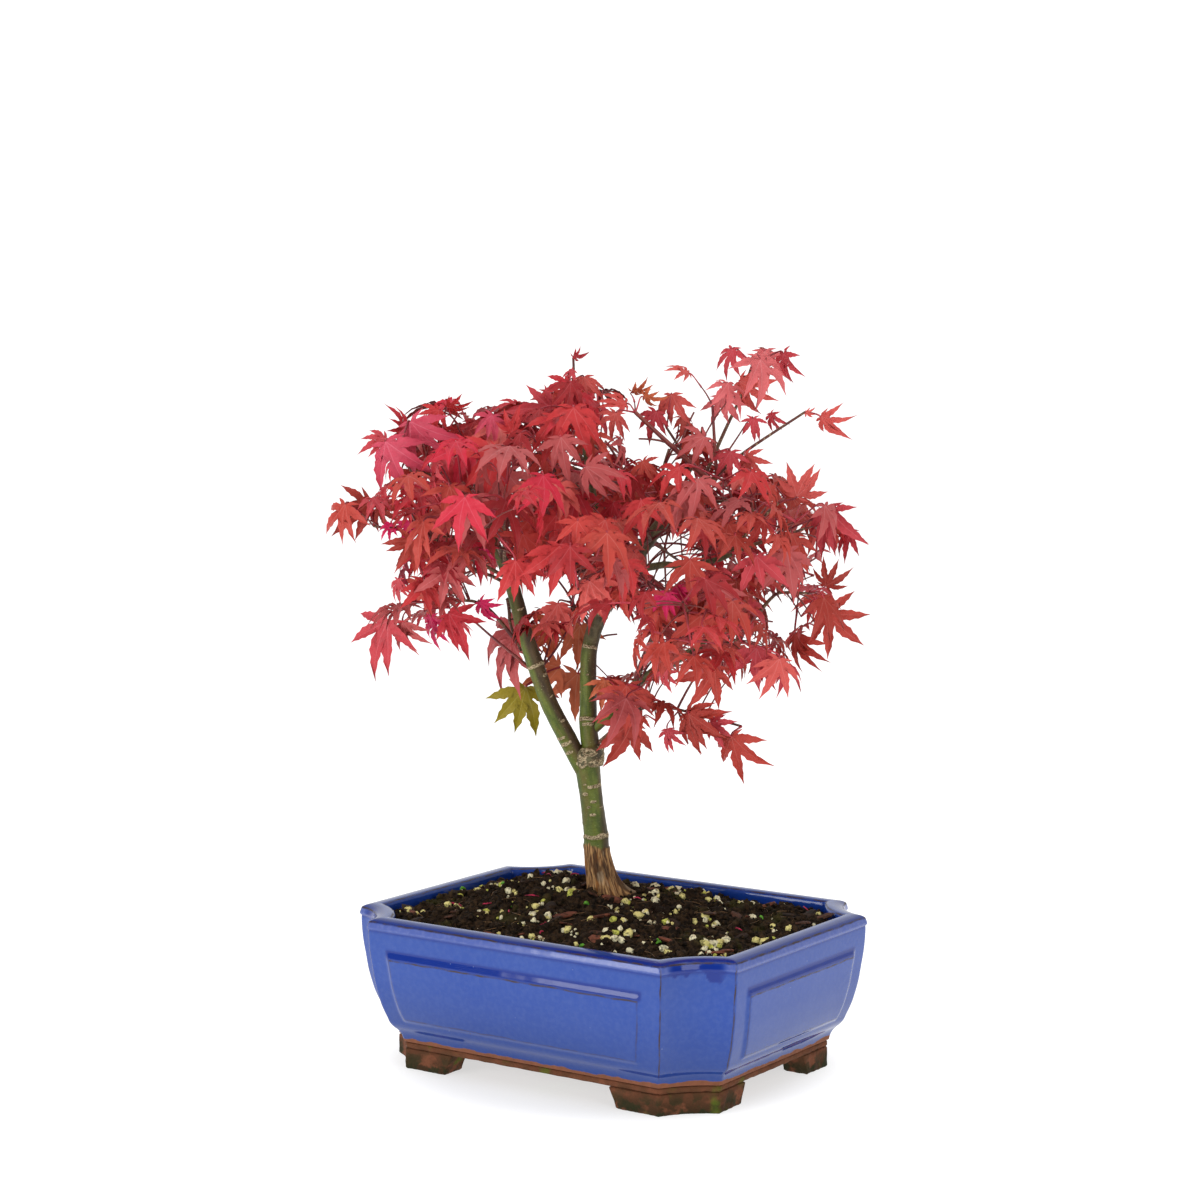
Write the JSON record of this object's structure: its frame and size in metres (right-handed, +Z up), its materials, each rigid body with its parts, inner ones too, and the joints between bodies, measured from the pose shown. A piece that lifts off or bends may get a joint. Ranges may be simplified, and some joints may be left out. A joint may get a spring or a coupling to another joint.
{
  "type": "bonsai maple in a glazed pot",
  "caption": "Small red-leaved maple bonsai with a green forked trunk and an airy spreading crown, in a blue glazed pot with notched corners and bare clay feet.",
  "frame": {"origin": "on the table, under the middle of the pot and of the whole plant's box", "axes": "+Z up, +X along the pot's long side, -Y out of the long side that is seen in front"},
  "size_m": [0.2153, 0.2182, 0.3399],
  "materials": {
    "blue_glaze": "gloss",
    "bare_clay": "matte",
    "soil": "matte",
    "bark": "matte",
    "foliage": "matte"
  },
  "bodies": {
    "root": {"pot": "blue_glaze", "clay_band": "bare_clay", "foot_front_left": "bare_clay", "foot_front_right": "bare_clay", "foot_back_right": "bare_clay", "foot_back_left": "bare_clay", "soil": "soil", "trunk": "bark", "left_bough": "bark", "leader": "bark", "right_bough": "bark", "right_branch": "bark", "top_bough": "bark", "back_bough": "bark", "top_shoot": "foliage", "whorl_top": "foliage", "whorl_right": "foliage", "whorl_left": "foliage", "whorl_middle": "foliage", "far_left": "foliage", "lower_left": "foliage", "lower_left_inner": "foliage", "low_back_left": "foliage", "low_right": "foliage", "low_front": "foliage", "right_under": "foliage", "right_lower": "foliage", "right_far": "foliage", "right_upper": "foliage", "whorl_back": "foliage", "top_middle": "foliage", "upper_left_top": "foliage", "upper_left_tip": "foliage", "top_left_front": "foliage", "top_right_front": "foliage", "left_middle": "foliage", "upper_left_front": "foliage", "centre_low": "foliage", "behind_trunk": "foliage", "right_inner": "foliage", "right_lower_front": "foliage", "right_front": "foliage", "whorl_under": "foliage", "inner_front": "foliage", "centre_front": "foliage", "centre_left": "foliage", "front_middle": "foliage", "front_left": "foliage", "front_right": "foliage", "upper_left_back": "foliage", "left_middle_back": "foliage", "top_left_back": "foliage", "top_right_back": "foliage", "right_back": "foliage", "right_lower_back": "foliage", "inner_back": "foliage", "centre_back": "foliage", "centre_back_left": "foliage", "centre_back_right": "foliage"}
  },
  "joints": []
}
